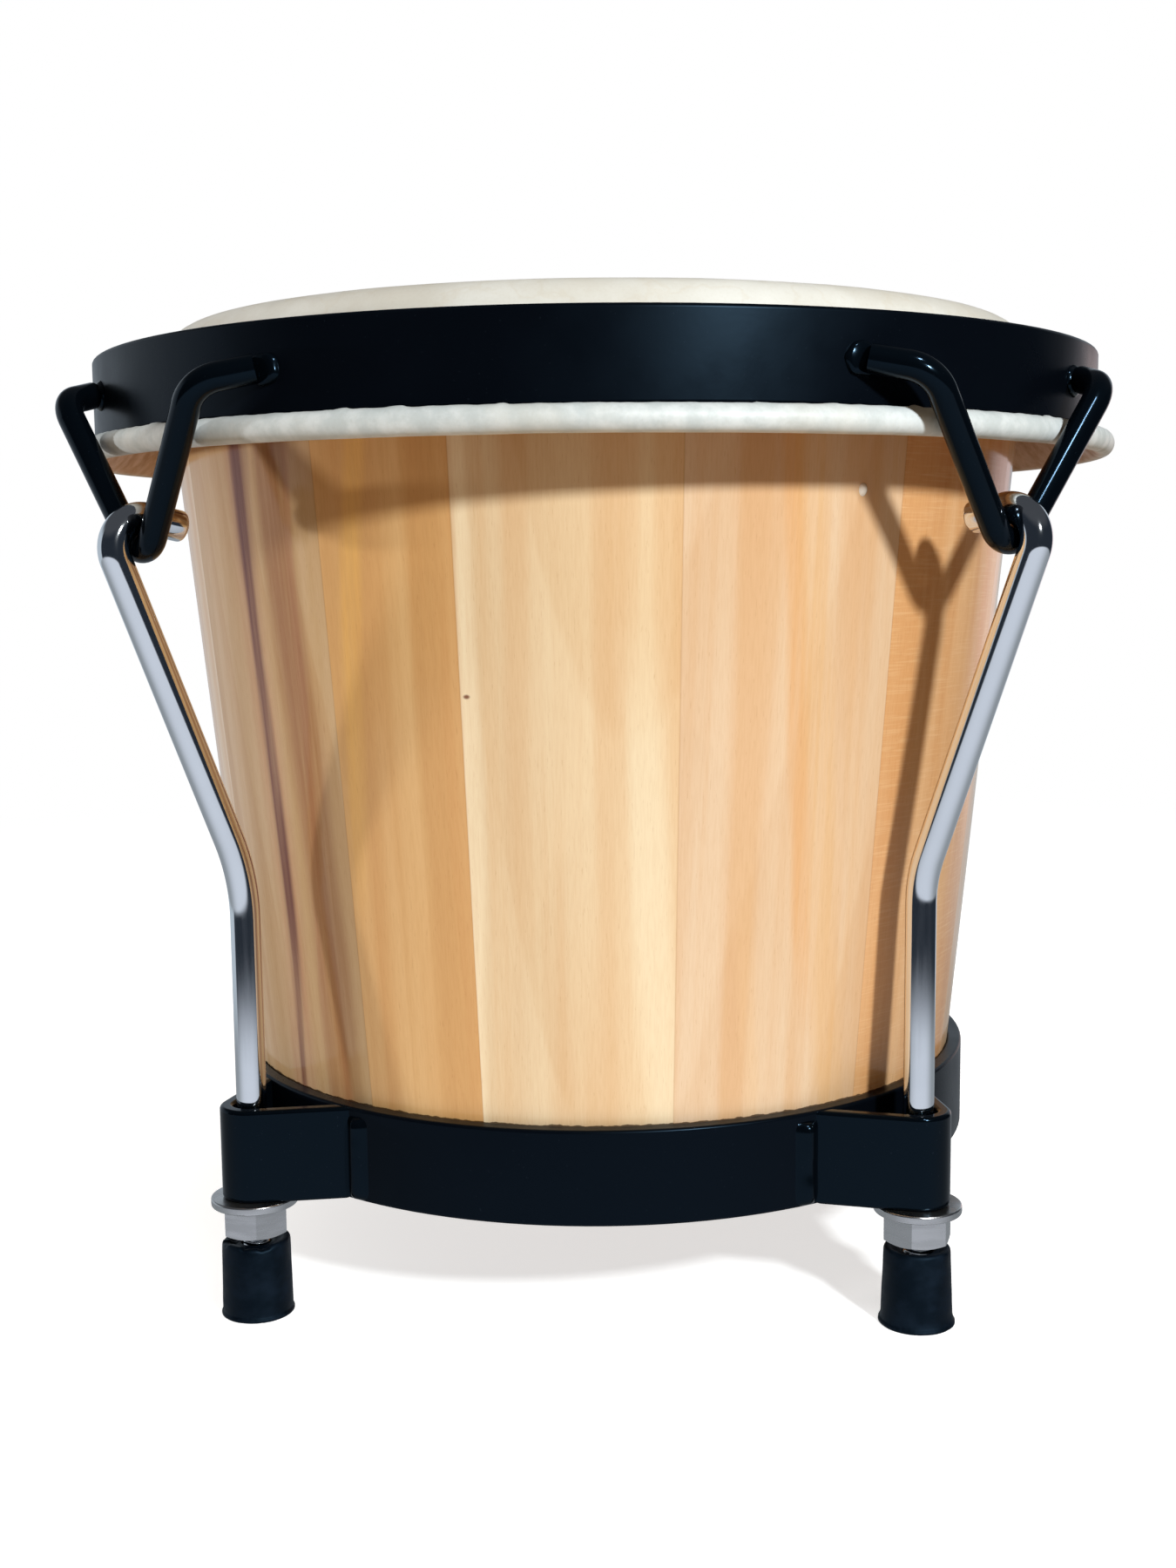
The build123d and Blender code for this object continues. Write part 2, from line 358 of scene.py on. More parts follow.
RING_TONE = (0.80, 0.62, 0.42)
FIBRE_TONE = (0.78, 0.62, 0.46)
PORE_TONE = (0.62, 0.42, 0.26)
KNOT_TONE = tone(120, 62, 36)
GLUE_TONE = (0.60, 0.42, 0.28)
RAW_TONE = tone(222, 196, 158)
MARK_TONE = tone(246, 214, 170)
# Painted shade for the gap where the wood meets the bottom ring's top edge.
RING_GAP_SHADE_TONE = tone(40, 24, 16)

PALE = tone(231, 204, 166)
CREAM = tone(235, 210, 172)
HONEY = tone(226, 187, 140)
AMBER = tone(222, 174, 116)
ORANGE = tone(221, 164, 104)
OLIVE = tone(206, 170, 122)
HEARTWOOD = tone(112, 62, 54)
PINK_EDGE = tone(196, 142, 110)
SUNNY = tone(236, 186, 110)


def stave_span(name):
    """Middle angle and half width of a stave, as angles about the drum's axis."""
    places = [vertex.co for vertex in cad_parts[name].data.vertices]
    middle_point = sum((Vector((p.x, p.y)) for p in places), Vector((0, 0)))
    middle = math.atan2(middle_point.y, middle_point.x)
    offsets = [
        (math.atan2(p.y, p.x) - middle + math.pi) % TURN - math.pi
        for p in places
    ]
    low, high = min(offsets), max(offsets)
    return middle + (low + high) / 2, (high - low) / 2


def streak_amount(material, across, along, streak):
    """1 on a streak's line, falling to 0 at its soft edges."""
    base = streak["across"] - STREAK_LEVEL * streak["slope"]
    line = material.math("MULTIPLY_ADD", along, streak["slope"], base)
    gap = material.math("ABSOLUTE", material.math("SUBTRACT", across, line))
    body = material.step(gap, streak["width"] * 0.25, streak["width"], 1.0, 0.0)
    rise = material.step(along, streak["bottom"] - STREAK_FADE, streak["bottom"] + STREAK_FADE)
    fall = material.step(along, streak["top"] - STREAK_FADE, streak["top"] + STREAK_FADE, 1.0, 0.0)
    body = material.times(body, material.times(rise, fall))
    return material.times(body, streak["strength"])


def streak(across, width, colour, strength, slope=0.0, bottom=0.0, top=STREAK_TOP_Z):
    """A band in a stave: across is its place at STREAK_LEVEL, slope is how it drifts with height."""
    return dict(across=across, width=width, colour=colour, strength=strength, slope=slope,
                bottom=bottom, top=top)


def stave_look(pale, deep, pith, ring_width, ring_strength, streaks=(), knots=(), brushed=False):
    """How one stave looks: pith is how deep and how far across its growth rings have their centre,
    knots are (across, height, size), and brushed wood has marks across its grain."""
    return dict(pale=pale, deep=deep, pith=pith, ring_width=ring_width, ring_strength=ring_strength,
                streaks=streaks, knots=knots, brushed=brushed)


def wood(number, middle, half_width, look):
    """Lacquered pale softwood, its grain upright, in a stave's own directions."""
    material = Material(f"wood_{number:02d}", coat_weight=0.8, coat_roughness=0.12, coat_ior=1.45,
                        specular_ior_level=0.1)
    seed = number * 37.0
    local = material.node("ShaderNodeMapping", {"Vector": material.place, "Rotation": (0, 0, -middle)})
    depth, across_plain, along = material.node("ShaderNodeSeparateXYZ", {0: local.outputs[0]}).outputs

    def grain(depth_scale, across_scale, along_scale, detail, shift=0.0):
        vector = material.scaled((depth_scale, across_scale, along_scale), -middle,
                                 (seed + shift, seed * 0.7 + shift, seed * 1.9))
        return material.noise(vector, detail)

    wander = grain(0.015, 0.02, 0.012, 2.0)
    wander = material.math("MULTIPLY_ADD", wander, GRAIN_WANDER, -GRAIN_WANDER / 2)
    across = material.math("ADD", across_plain, wander)

    # Growth rings round a pith that lies beside or behind the stave.
    pith_depth, pith_across = look["pith"]
    from_pith = material.combine(
        material.math("SUBTRACT", depth, pith_depth),
        material.math("SUBTRACT", across, pith_across),
        material.times(along, 0.03),
    )
    ring_place = material.math("DIVIDE", material.length(from_pith), look["ring_width"])
    ring_phase = material.math("FRACT", ring_place)
    late_wood = material.times(material.step(ring_phase, 0.25, 0.92),
                               material.step(ring_phase, 0.93, 1.0, 1.0, 0.0))

    bands = grain(0.02, 0.13, 0.0035, 2.0, 3.1)
    fine_bands = grain(0.1, 0.55, 0.009, 3.0, 7.7)
    fibre = grain(2.5, 3.2, 0.055, 4.0, 1.3)
    pores = material.step(grain(4.0, 5.0, 0.28, 1.0, 9.4), 0.66, 0.76)

    colour = material.mix(material.step(bands, 0.36, 0.64), look["pale"], look["deep"])
    colour = material.mix(material.step(fine_bands, 0.4, 0.75, 0.0, 0.35), colour, look["deep"])
    late_wood = material.times(late_wood, look["ring_strength"])
    colour = material.mix(late_wood, colour, RING_TONE, "MULTIPLY")
    for band in look["streaks"]:
        amount = streak_amount(material, across, along, band)
        uneven = material.step(fine_bands, 0.3, 0.62, 0.55, 1.0)
        colour = material.mix(material.times(amount, uneven), colour, band["colour"])
    colour = material.mix(material.step(fibre, 0.35, 0.7, 0.0, 0.16), colour, FIBRE_TONE, "MULTIPLY")
    colour = material.mix(material.times(pores, 0.22), colour, PORE_TONE, "MULTIPLY")
    for knot_across, knot_along, knot_size in look["knots"]:
        gap = material.length(material.combine(
            material.math("SUBTRACT", across_plain, knot_across),
            material.math("MULTIPLY_ADD", along, KNOT_SQUASH, -KNOT_SQUASH * knot_along),
        ))
        dark = material.step(gap, knot_size * 0.3, knot_size, 0.9, 0.0)
        colour = material.mix(dark, colour, KNOT_TONE)

    # Glue line: a hair of darker wood along both edges of the stave.
    angle = material.math("ARCTAN2", across_plain, depth)
    edge_gap = material.math("SUBTRACT", half_width, material.math("ABSOLUTE", angle))
    edge_gap = material.times(edge_gap, GLUE_LINE_RADIUS)
    colour = material.mix(material.step(edge_gap, 0.03, 0.22, 0.30, 0.0), colour, GLUE_TONE, "MULTIPLY")

    # The lacquer is on the outside only: the bore is raw, duller and paler wood.
    radius = material.length(material.combine(depth, across_plain))
    wall_middle = material.math("MULTIPLY_ADD", along, SHELL_FLARE, WALL_MIDDLE_RADIUS)
    raw = material.step(material.math("SUBTRACT", radius, wall_middle), -1.0, 1.0, 1.0, 0.0)
    colour = material.mix(material.times(raw, 0.5), colour, RAW_TONE)

    # A ragged dark line lies where the wood meets the bottom ring's top edge: painted shade of the
    # narrow gap under the ring's edge.
    ragged = material.math("MULTIPLY_ADD", grain(0.5, 0.5, 0.2, 4.0, 2.2), 0.9, ring_top_z - 0.42)
    shade_line_height = material.math("SUBTRACT", along, ragged)
    colour = material.mix(material.step(shade_line_height, 0.0, 0.12, 0.85, 0.0), colour, RING_GAP_SHADE_TONE)

    relief = material.times(fibre, 0.5)
    if look["brushed"]:
        marks = grain(0.15, 0.12, 3.4, 3.0, 5.5)
        deep_marks = material.step(grain(0.08, 0.05, 1.3, 2.0, 8.8), 0.6, 0.74)
        marked = material.times(material.step(marks, 0.5, 0.68), 0.5)
        marked = material.math("ADD", marked, material.times(deep_marks, 0.5))
        colour = material.mix(material.times(marked, 0.34), colour, MARK_TONE)
        relief = material.math("ADD", relief, marks)
    material.surface(
        base_color=colour,
        roughness=material.step(fibre, 0.3, 0.7, 0.42, 0.55),
        normal=material.bump(relief, 0.03, 0.5),
    )
    return material.data


# The staves on the camera's side, by number.  The others get looks drawn from a seeded source.
STAVE_LOOKS = {
    13: stave_look(tone(216, 184, 142), OLIVE, (20.0, -60.0), 6.5, 0.25, [
        streak(0.0, 5.6, PINK_EDGE, 0.55, 0.012),
        streak(0.3, 2.6, HEARTWOOD, 0.95, 0.022, 60),
        streak(0.2, 4.6, HEARTWOOD, 0.75, 0.030, 138),
        streak(0.2, 1.5, HEARTWOOD, 0.70, 0.018, 20, 90),
        streak(11.5, 1.6, PINK_EDGE, 0.50, 0.09, 60, 190),
        # A darker band along the right edge: partly wood tone, partly painted shadow of the front rod.
        streak(11.5, 6.5, tone(164, 112, 74), 0.80),
    ]),
    1: stave_look(tone(230, 188, 132), tone(220, 170, 112), (60.0, 90.0), 5.5, 0.12, [
        streak(-9.2, 3.2, SUNNY, 0.85, 0.087, 85),
        streak(2.0, 3.4, AMBER, 0.25, -0.01),
        streak(7.5, 4.5, tone(208, 160, 102), 0.45, 0.01),
        streak(16.0, 3.0, tone(230, 188, 138), 0.60),
    ]),
    2: stave_look(CREAM, tone(226, 190, 146), (150.0, 20.0), 8.0, 0.22, [
        streak(-17.0, 2.4, tone(247, 226, 190), 0.95, -0.008),
        streak(-13.2, 2.2, HONEY, 0.45, -0.02),
        streak(13.0, 5.0, tone(240, 222, 188), 0.60, -0.05, 0, 120),
    ], knots=[(-17.4, 115.6, 0.8)]),
    3: stave_look(tone(226, 197, 164), tone(220, 180, 138), (-30.0, 40.0), 9.0, 0.20, [
        streak(1.8, 3.0, ORANGE, 0.62, -0.085, 60, 220),
        streak(6.0, 4.6, AMBER, 0.50, -0.10, 20),
        streak(-8.5, 2.4, HONEY, 0.35, -0.05, 10, 90),
    ]),
    4: stave_look(tone(229, 184, 136), tone(220, 166, 112), (120.0, -50.0), 7.0, 0.18, brushed=True),
}

STAVE_COUNT = 13
KNOTTY_STAVES = (7, 11)
OTHER_BRUSHED_STAVE = 8
OTHER_TONES = [
    (PALE, HONEY),
    (CREAM, tone(228, 190, 146)),
    (HONEY, AMBER),
    (tone(222, 190, 148), OLIVE),
]
draw = random.Random(11)


def other_stave_look(number):
    """A look for a stave on the far side: tones in turn, and a grain drawn at random."""
    pale, deep = OTHER_TONES[number % len(OTHER_TONES)]
    bands = [
        streak(draw.uniform(-14, 14), draw.uniform(2, 5), draw.choice([AMBER, HONEY, CREAM]),
               draw.uniform(0.3, 0.6), draw.uniform(-0.06, 0.06))
        for _ in range(3)
    ]
    knots = []
    if number in KNOTTY_STAVES:
        knots.append((draw.uniform(-9, 9), draw.uniform(60, 140), 1.3))
    return stave_look(pale, deep, (draw.uniform(-40, 150), draw.uniform(-80, 80)), draw.uniform(5, 9),
                      draw.uniform(0.18, 0.32), bands, knots, number == OTHER_BRUSHED_STAVE)


for number in range(1, STAVE_COUNT + 1):
    stave = f"stave_{number:02d}"
    look = STAVE_LOOKS.get(number) or other_stave_look(number)
    dress(stave, wood(number, *stave_span(stave), look))


# ---------------- metal, paint, rubber and rawhide

PAINT_TINT = (0.38, 0.68, 1.0)


def paint(name, colour, roughness, orange_peel, shine):
    """Black powder coat: a faint orange-peel skin, dust specks and cloudy gloss."""
    material = Material(name, ior=1.5, specular_ior_level=shine, specular_tint=PAINT_TINT)
    cloud = material.noise(material.scaled(0.06), 3.0)
    speck = material.step(material.noise(material.scaled(2.2), 1.0), 0.74, 0.80)
    peel = material.noise(material.scaled(0.9), 2.0)
    material.surface(
        base_color=material.mix(material.times(speck, 0.10), colour, tone(60, 70, 84)),
        roughness=material.step(cloud, 0.3, 0.7, roughness * 0.85, roughness * 1.15),
        normal=material.bump(peel, orange_peel, 0.5),
    )
    return material.data


def plated(name, colour, roughness, marks, haze, relief):
    """Plated metal with drawn or turned marks along the given directions, and a light haze."""
    material = Material(name, metallic=1.0)
    fine = material.noise(material.scaled(marks), 3.0)
    cloud = material.noise(material.scaled(0.12), 2.0)
    worn = material.step(cloud, 0.35, 0.7, 0.0, haze)
    material.surface(
        base_color=material.mix(worn, colour, tuple(value * 0.82 for value in colour)),
        roughness=material.math("ADD", material.step(fine, 0.3, 0.7, roughness * 0.8, roughness * 1.25),
                                material.times(worn, 0.08)),
        normal=material.bump(fine, relief, 0.15),
    )
    return material.data


def rubber():
    """Black moulded rubber: matt, slightly mottled, paler where it is scuffed near the floor."""
    material = Material("black_rubber", ior=1.5, specular_ior_level=0.2, specular_tint=PAINT_TINT)
    grain = material.noise(material.scaled(1.6), 3.0)
    bloom = material.noise(material.scaled((0.25, 0.25, 0.4)), 3.0)
    height = material.node("ShaderNodeSeparateXYZ", {0: material.place}).outputs["Z"]
    scuff = material.times(material.step(height, 0.0, 2.2, 1.0, 0.0), material.step(grain, 0.45, 0.7))
    amount = material.math("ADD", material.step(bloom, 0.35, 0.75, 0.0, 0.4),
                           material.times(scuff, 0.35))
    material.surface(
        base_color=material.mix(amount, tone(3, 8, 15), tone(22, 32, 46)),
        roughness=material.step(bloom, 0.3, 0.7, 0.42, 0.62),
        normal=material.bump(grain, 0.05, 0.4),
    )
    return material.data


SKIN_GRAIN_TONE = (0.70, 0.62, 0.50)


def rawhide():
    """Skin: cream and cloudy on its hair side, cooler and mottled on the roll, and tan underneath,
    where the tan is painted shade warmed by painted light from the wood.
    """
    material = Material("rawhide", roughness=0.5)
    cloud = material.noise(material.scaled((0.035, 0.035, 0.05)), 4.0, rough=0.6)
    mottle = material.noise(material.scaled(0.22), 4.0, rough=0.6)
    grain = material.noise(material.scaled(1.8), 4.0, rough=0.6)
    veins = material.noise(material.scaled((0.07, 0.09, 0.11), shift=(40, 11, 5)), 5.0)
    vein_edge = material.times(material.step(veins, 0.47, 0.5),
                               material.step(veins, 0.5, 0.53, 1.0, 0.0))
    top = material.mix(material.step(cloud, 0.35, 0.65), tone(232, 231, 224), tone(219, 215, 204))
    top = material.mix(material.times(vein_edge, 0.14), top, tone(208, 192, 164))
    roll = material.mix(material.step(mottle, 0.35, 0.65), tone(222, 228, 229), tone(200, 208, 209))
    roll = material.mix(material.step(cloud, 0.52, 0.68, 0.0, 0.35), roll, tone(210, 208, 198))
    # Underneath, the tan is painted shade with a painted warm reflection of light from the wood.
    shaded_under_tone = material.mix(material.step(mottle, 0.3, 0.7), tone(206, 172, 132), tone(176, 138, 98))
    on_roll = material.node("ShaderNodeAttribute", attribute_name="roll").outputs["Fac"]
    on_under = material.node("ShaderNodeAttribute", attribute_name="underside").outputs["Fac"]
    colour = material.mix(on_roll, top, roll)
    colour = material.mix(on_under, colour, shaded_under_tone)
    specks = material.step(grain, 0.4, 0.75, 0.0, 0.10)
    colour = material.mix(specks, colour, SKIN_GRAIN_TONE, "MULTIPLY")
    relief = material.math("ADD", material.times(mottle, 0.7), material.times(grain, 0.3))
    material.surface(
        base_color=colour,
        roughness=material.step(mottle, 0.3, 0.7, 0.42, 0.6),
        normal=material.bump(relief, 0.10, 0.6),
    )
    return material.data


satin_black = paint("satin_black_paint", tone(5, 8, 14), 0.30, 0.010, 0.13)
gloss_black = paint("gloss_black_paint", tone(3, 6, 10), 0.14, 0.006, 0.18)
chrome = plated("chrome_plate", (0.82, 0.84, 0.86), 0.065, (1.2, 1.2, 0.05), 0.12, 0.002)
zinc = plated("zinc_plate", (0.60, 0.59, 0.58), 0.25, (0.15, 0.15, 0.9), 0.25, 0.0002)
wire_steel = plated("hoop_wire_steel", (0.60, 0.60, 0.59), 0.32, (0.3, 0.3, 0.6), 0.35, 0.001)
black_rubber = rubber()
skin_material = rawhide()

for band in ("rim", "bottom_ring"):
    dress(band, satin_black)
    smooth_seam(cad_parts[band])
dress("flesh_hoop", wire_steel)
for side in SIDES:
    dress(f"rim_ear_{side}", gloss_black)
    dress(f"lug_loop_{side}", gloss_black)
    dress(f"washer_{side}", zinc)
    dress(f"tuning_nut_{side}", zinc)


# ---------------- skin

SKIN_COLUMNS = 900          # sections round the drum
COLLAR_STEPS = 16           # points along the collar in a section
SKIN_GAP = 0.03             # between the skin and the wood or wire under it
SKIN_SINK = 0.10            # the real skin lies a little lower than the CAD one
CUT_EDGE_ANGLE = 100.0      # where the skin's cut edge ends, round the wire from straight outwards

skin_flat_z = skin_top_z - SKIN_SINK
bearing_centre = (skin_flat_radius, shell_top_z - BEARING_EDGE_RADIUS)
wire_centre = (hoop_radius, hoop_z)
half_skin = skin_thickness / 2


def skin_collar_arc():
    """Centre, radius and turn of the long arc from the bearing edge down to the wire."""
    start = polar(bearing_centre, BEARING_EDGE_RADIUS + half_skin, COLLAR_START_ANGLE)
    turn = 0.0
    for _ in range(20):
        end = polar(wire_centre, wire_radius + half_skin, COLLAR_START_ANGLE + turn - 180)
        chord = math.degrees(math.atan2(end[1] - start[1], end[0] - start[0]))
        turn = 2 * (chord + 90 - COLLAR_START_ANGLE)
    reach = math.hypot(end[0] - start[0], end[1] - start[1])
    radius = reach / (2 * math.sin(math.radians(turn / 2)))
    return polar(start, radius, COLLAR_START_ANGLE), radius, turn


def skin_section(phi, arc_centre, arc_radius, arc_turn):
    """The skin's outline at one angle: hair side out to the cut edge, then back underneath.

    Each point is (radius, height, on the roll, on the underside)."""
    meet = COLLAR_START_ANGLE + arc_turn - 180
    cut = CUT_EDGE_ANGLE + 13 * wobble(phi, 60, 0.0, 4.0) + 9 * wobble(phi, 190, 0.0, 9.0)
    tuft = ease((wobble(phi, 150, 0.0, 2.0) - 0.28) * 5)
    section = []
    for radius in (1.0, 8.0, 20.0, 32.0, 44.0, 55.0, 65.0, 73.0, skin_flat_radius - 1.5):
        lift = 0.05 * noise.noise(around(radius * 0.05, phi, 1.0))
        section.append((radius, skin_flat_z + lift, 0.0, 0.0))
    for angle in spread(90, COLLAR_START_ANGLE, 9):
        sink = SKIN_SINK * (angle - COLLAR_START_ANGLE) / (90 - COLLAR_START_ANGLE)
        radius = BEARING_EDGE_RADIUS + skin_thickness - sink + 0.05 * wobble(phi, 40, angle * 0.02, 6.0)
        section.append((*polar(bearing_centre, radius, angle), 0.0, 0.0))
    for angle in spread(COLLAR_START_ANGLE + 180, meet + 360, COLLAR_STEPS)[1:-1]:
        share = (angle - COLLAR_START_ANGLE - 180) / arc_turn
        pleat = 0.16 * share * wobble(phi, 120, share, 3.0) + 0.10 * wobble(phi, 45, share, 8.0)
        radius = arc_radius - half_skin - max(pleat, -0.2)
        section.append((*polar(arc_centre, radius, angle), 0.0, 0.0))
    for angle in spread(meet, cut, 12):
        section.append((*polar(wire_centre, wire_radius + SKIN_GAP, angle), 0.3, 0.0))
    lip = roll_radius - 0.12 + 0.10 * wobble(phi, 200, 0.0, 5.0)
    for share, angle in zip((0.3, 0.75, 1.0), (cut + 3, cut + 1.5, cut - 4)):
        radius = wire_radius + (lip - wire_radius + 0.3 * tuft) * share
        section.append((*polar(wire_centre, radius, angle), 1.0, 0.0))
    for angle in spread(cut - 12, meet, 22):
        lump = 0.06 * wobble(phi, 50, angle * 0.012, 12.0) + 0.02 * wobble(phi, 220, angle * 0.03, 15.0)
        away = 1.0 - ease((angle - 60) / 50)
        near_cut = ease((angle - 45) / 40) * (0.10 * wobble(phi, 330, 0.0, 18.0) + 0.22 * tuft)
        radius = roll_radius - 0.08 + lump * (0.4 + 0.6 * away) + near_cut
        on_under = ease((-angle - 75) / 60)
        section.append((*polar(wire_centre, radius, angle), 1.0 - on_under, on_under))
    for angle in spread(meet + 360, COLLAR_START_ANGLE + 180, COLLAR_STEPS)[1:-1]:
        share = (angle - COLLAR_START_ANGLE - 180) / arc_turn
        pleat = 0.12 * share * wobble(phi, 120, share, 3.0)
        radius = arc_radius + half_skin - 0.08 * share + pleat
        section.append((*polar(arc_centre, radius, angle), 0.0, 1.0))
    for angle in spread(COLLAR_START_ANGLE, 90, 8):
        section.append((*polar(bearing_centre, BEARING_EDGE_RADIUS + SKIN_GAP, angle), 0.0, 1.0))
    for radius in (60.0, 40.0, 20.0, 1.0):
        section.append((radius, shell_top_z + SKIN_GAP, 0.0, 1.0))
    return section


def build_skin():
    arc = skin_collar_arc()
    points, roll_values, under_values = [], [], []
    for step in range(SKIN_COLUMNS):
        phi = TURN * step / SKIN_COLUMNS
        section = skin_section(phi, *arc)
        for radius, height, on_roll, on_under in section:
            points.append(around(radius, phi, height))
            roll_values.append(on_roll)
            under_values.append(on_under)
    columns = len(section)
    faces = grid_faces(SKIN_COLUMNS, columns, True, False)
    middles = [(0, skin_flat_z, 0.0), (columns - 1, shell_top_z + SKIN_GAP, 1.0)]
    for column, height, on_under in middles:
        points.append((0.0, 0.0, height))
        roll_values.append(0.0)
        under_values.append(on_under)
        centre = len(points) - 1
        faces += [
            (step * columns + column, (step + 1) % SKIN_COLUMNS * columns + column, centre)
            for step in range(SKIN_COLUMNS)
        ]
    skin = make_piece("skin", points, faces, skin_material)
    for attribute_name, values in (("roll", roll_values), ("underside", under_values)):
        skin.data.attributes.new(attribute_name, "FLOAT", "POINT").data.foreach_set("value", values)
    return skin


skin = build_skin()
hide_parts("skin_playing_surface", "skin_collar", "skin_roll")
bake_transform(skin)


# ---------------- tension rods

ROD_COLUMNS = 48
THREAD_PITCH = 1.27
THREAD_DEPTH = 0.62
THREAD_TOP_Z = 34.0
THREAD_STEPS = 8            # sections in one turn of the thread
ROD_BENDS = {"right": 24.0, "back": 30.0, "left": 34.0, "front": 40.0}   # each rod was bent by hand


def rod_stations(bend):
    """Points (r, z), headings in degrees and radii from the tail to the tip of the hook."""
    slant = math.radians(ROD_SLANT)
    ear_axis = (EAR_APEX_RADIUS, EAR_APEX_Z)
    hook_start = polar(ear_axis, ROD_HOOK_BEND, -ROD_SLANT)
    corner_z = hook_start[1] - (hook_start[0] - rod_line_radius) / math.tan(slant)
    bend_drop = bend * math.tan(slant / 2)
    bend_centre = (rod_line_radius + bend, corner_z - bend_drop)
    stations = []
    for angle in spread(90, 0, 5):
        inset = ROD_END_ROUNDING * (1 - math.sin(math.radians(90 - angle)))
        shrink = ROD_END_ROUNDING * (1 - math.cos(math.radians(90 - angle)))
        stations.append(((rod_line_radius, rod_tail_z + shrink), 90.0, rod_radius - inset))
    thread_steps = int((THREAD_TOP_Z - rod_tail_z) / THREAD_PITCH * THREAD_STEPS)
    for z in spread(rod_tail_z + ROD_END_ROUNDING + 0.1, THREAD_TOP_Z, thread_steps):
        stations.append(((rod_line_radius, z), 90.0, rod_radius))
    for z in spread(THREAD_TOP_Z + 1, corner_z - bend_drop, 12):
        stations.append(((rod_line_radius, z), 90.0, rod_radius))
    for turn in spread(0, ROD_SLANT, 12)[1:]:
        stations.append((polar(bend_centre, bend, 180 - turn), 90.0 - turn, rod_radius))
    bend_end = stations[-1][0]
    for share in spread(0, 1, 14)[1:-1]:
        point = tuple(a + (b - a) * share for a, b in zip(bend_end, hook_start))
        stations.append((point, 90.0 - ROD_SLANT, rod_radius))
    for angle in spread(-ROD_SLANT, ROD_TIP_ANGLE - 90, 30):
        stations.append((polar(ear_axis, ROD_HOOK_BEND, angle), angle + 90, rod_radius))
    hook_end = stations[-1][0]
    for run in spread(0, ROD_TIP_LENGTH - ROD_END_ROUNDING, 4)[1:]:
        stations.append((polar(hook_end, run, ROD_TIP_ANGLE), ROD_TIP_ANGLE, rod_radius))
    for angle in spread(0, 90, 5)[1:]:
        inset = ROD_END_ROUNDING * (1 - math.cos(math.radians(angle)))
        run = ROD_TIP_LENGTH - ROD_END_ROUNDING * (1 - math.sin(math.radians(angle)))
        stations.append((polar(hook_end, run, ROD_TIP_ANGLE), ROD_TIP_ANGLE, rod_radius - inset))
    return stations


def thread_cut(z, angle):
    """How deep the thread is cut at a height and an angle round the rod."""
    phase = (z / THREAD_PITCH - angle / TURN) % 1.0
    flank = min(max((0.5 - abs(phase - 0.5)) * 2.6 - 0.25, 0.0), 1.0)
    fade = ease((THREAD_TOP_Z - z) / 3.0) * ease((z - rod_tail_z - 0.6) / 1.5)
    return THREAD_DEPTH * (1 - flank) * fade


def build_rod(side, degrees):
    rings = []
    for (r, z), heading, radius in rod_stations(ROD_BENDS[side]):
        lean = math.radians(heading)
        ring = []
        for column in range(ROD_COLUMNS):
            angle = TURN * column / ROD_COLUMNS
            here = radius - (thread_cut(z, angle) if z < THREAD_TOP_Z else 0.0)
            sideways = here * math.cos(angle)
            ring.append((
                r - math.sin(lean) * sideways,
                here * math.sin(angle),
                z + math.cos(lean) * sideways,
            ))
        rings.append(turned(ring, degrees))
    rod = make_piece(f"chrome_rod_{side}", *capped_tube(rings), chrome)
    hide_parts(f"tension_rod_{side}")
    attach(rod, "head")


for side, degrees in SIDES.items():
    build_rod(side, degrees)


# ---------------- rubber feet

FOOT_COLUMNS = 96
FOOT_BORE_GAP = 0.03
FOOT_BORE_MIDDLE_Z = 9.0
WORN_FOOT_RADII = (6.25, 6.45, 6.7)     # top, waist and base of the front foot
WORN_HEIGHT = 1.5                       # how far down its top edge is torn
TORN_WHOLE_SIDE = math.radians(145)     # angles about the front foot's axis, from the drum outwards
TORN_STUB_SIDE = math.radians(15)


def foot_profile(top_radius, waist_radius, base_radius):
    """Outline (radius, height) from the middle of the base, up the side and down the rod's hole."""
    top = foot_height
    side_slope = (top_radius - waist_radius) / (top - FOOT_WAIST_Z)
    profile = [(3.0, 0.0), (5.4, 0.0), (base_radius - 0.25, 0.0), (base_radius, 0.2)]
    profile += [(base_radius, 0.5), (base_radius - 0.12, FOOT_LIP_Z - 0.05)]
    for share in spread(0, 1, 7):
        flare = (base_radius - 0.25 - waist_radius) * (1 - share) ** 2.4
        profile.append((waist_radius + flare, FOOT_LIP_Z + (FOOT_WAIST_Z - FOOT_LIP_Z) * share))
    for z in spread(FOOT_WAIST_Z, top - 0.7, 9)[1:]:
        profile.append((waist_radius + side_slope * (z - FOOT_WAIST_Z), z))
    edge = top_radius
    profile += [(edge - 0.03, top - 0.4), (edge - 0.12, top - 0.18), (edge - 0.3, top - 0.04)]
    profile += [(edge - 0.6, top), (4.9, top - 0.06), (4.4, top - 0.5), (3.7, top - 0.62)]
    bore = rod_radius + FOOT_BORE_GAP
    profile += [(rod_radius + 0.3, top - 0.66), (bore, top - 0.9), (bore, FOOT_BORE_MIDDLE_Z)]
    profile.append((bore, rod_tail_z - FOOT_BORE_GAP))
    return profile


def torn_edge(angle):
    """How far a worn foot's top edge has been cut down, for an angle about the foot's own axis."""
    chewed = 0.55 + 0.3 * wobble(angle, 14, 0.0, 3.0) + 0.2 * wobble(angle, 40, 0.0, 5.0)
    whole_side = ease((math.cos(angle - TORN_WHOLE_SIDE) - 0.35) * 3)
    stub = ease((math.cos(angle - TORN_STUB_SIDE) - 0.93) * 25)
    return max(chewed, 0.0) * (1 - whole_side) * (1 - 0.9 * stub) + 0.5 * stub * (1 - stub)


